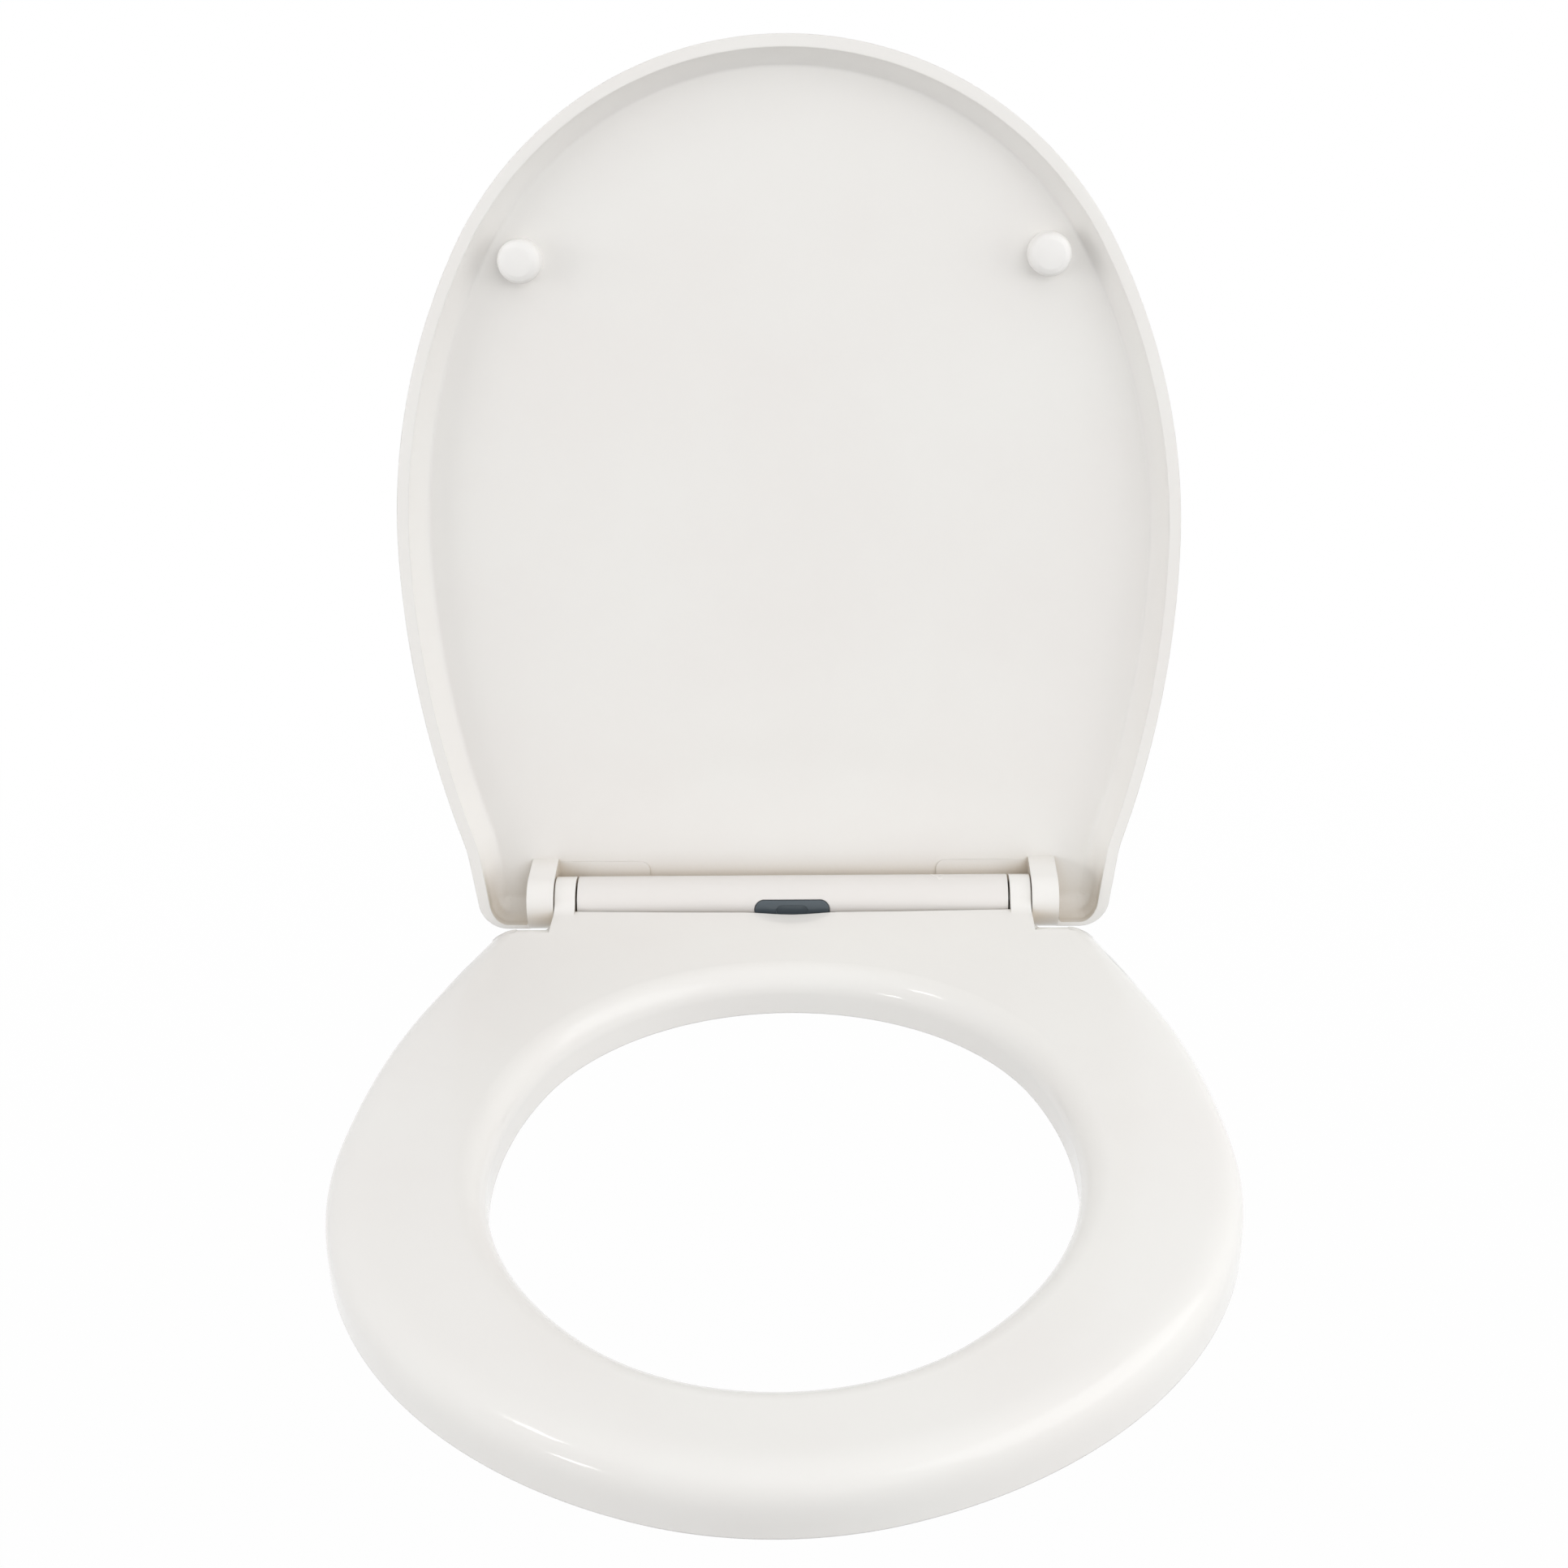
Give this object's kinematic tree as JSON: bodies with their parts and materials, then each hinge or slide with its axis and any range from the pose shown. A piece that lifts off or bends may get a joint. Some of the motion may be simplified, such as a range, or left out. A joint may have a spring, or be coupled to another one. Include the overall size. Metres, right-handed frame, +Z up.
{
  "type": "toilet seat",
  "caption": "Oval toilet seat with a hollow ring and a rimmed lid on one soft-closing hinge barrel, whose front push button releases it from its fixing posts.",
  "frame": {"origin": "on the pan's top face, midway between the two fixing studs", "axes": "X across the seat, -Y towards the sitter's knees, +Z up; at rest the ring is down and the lid stands open"},
  "size_m": [0.377, 0.4702, 0.4788],
  "materials": {
    "white_duroplast": "polished moulding",
    "white_plastic": "smooth moulding",
    "white_rubber": "soft, satin",
    "grey_rubber": "matte",
    "slate_plastic": "satin",
    "black_plastic": "matte",
    "grey_plastic": "matte",
    "steel": "turned, bright"
  },
  "bodies": {
    "hinge": {"hinge_barrel": "white_plastic", "hinge_cover": "white_plastic", "dampers": "black_plastic", "mounting_posts": "steel", "rubber_washers": "grey_rubber", "button_spring": "steel"},
    "seat": {"seat_ring": "white_duroplast", "seat_shaft": "steel", "front_right_bumper": "white_rubber", "front_left_bumper": "white_rubber", "rear_right_bumper": "white_rubber", "rear_left_bumper": "white_rubber"},
    "lid": {"lid_shell": "white_duroplast", "lid_bumpers": "white_rubber", "lid_shaft": "steel"},
    "button": {"release_button": "slate_plastic"},
    "latch_right": {"latch_bar_right": "grey_plastic"},
    "latch_left": {"latch_bar_left": "grey_plastic"},
    "nut_right": {"wing_nut_right": "white_plastic"},
    "nut_left": {"wing_nut_left": "white_plastic"}
  },
  "joints": [
    {"name": "seat_hinge", "type": "hinge", "parent": "hinge", "child": "seat", "pos_m": [0, 0, 0.029], "axis": [-1, 0, 0], "range_deg": [0, 95]},
    {"name": "lid_hinge", "type": "hinge", "parent": "hinge", "child": "lid", "pos_m": [0, 0, 0.029], "axis": [-1, 0, 0], "range_deg": [-95, 0]},
    {"name": "button_push", "type": "slide", "parent": "hinge", "child": "button", "axis": [0, 1, 0], "range_m": [0, 0.004], "stiffness_N_per_m": 800, "springref_m": -0.004, "deforming": ["button_spring"]},
    {"name": "latch_right_slide", "type": "slide", "parent": "hinge", "child": "latch_right", "axis": [1, 0, 0], "range_m": [-0.004, 0]},
    {"name": "latch_left_slide", "type": "slide", "parent": "hinge", "child": "latch_left", "axis": [1, 0, 0], "range_m": [0, 0.004]},
    {"name": "wing_nut_right_spin", "type": "hinge", "parent": "hinge", "child": "nut_right", "pos_m": [0.0775, 0, 0], "axis": [0, 0, 1], "continuous": true},
    {"name": "wing_nut_left_spin", "type": "hinge", "parent": "hinge", "child": "nut_left", "pos_m": [-0.0775, 0, 0], "axis": [0, 0, 1], "continuous": true}
  ],
  "couplings": [
    {"joint": "latch_right_slide", "follows": "button_push", "ratio": -1},
    {"joint": "latch_left_slide", "follows": "button_push", "ratio": 1}
  ]
}
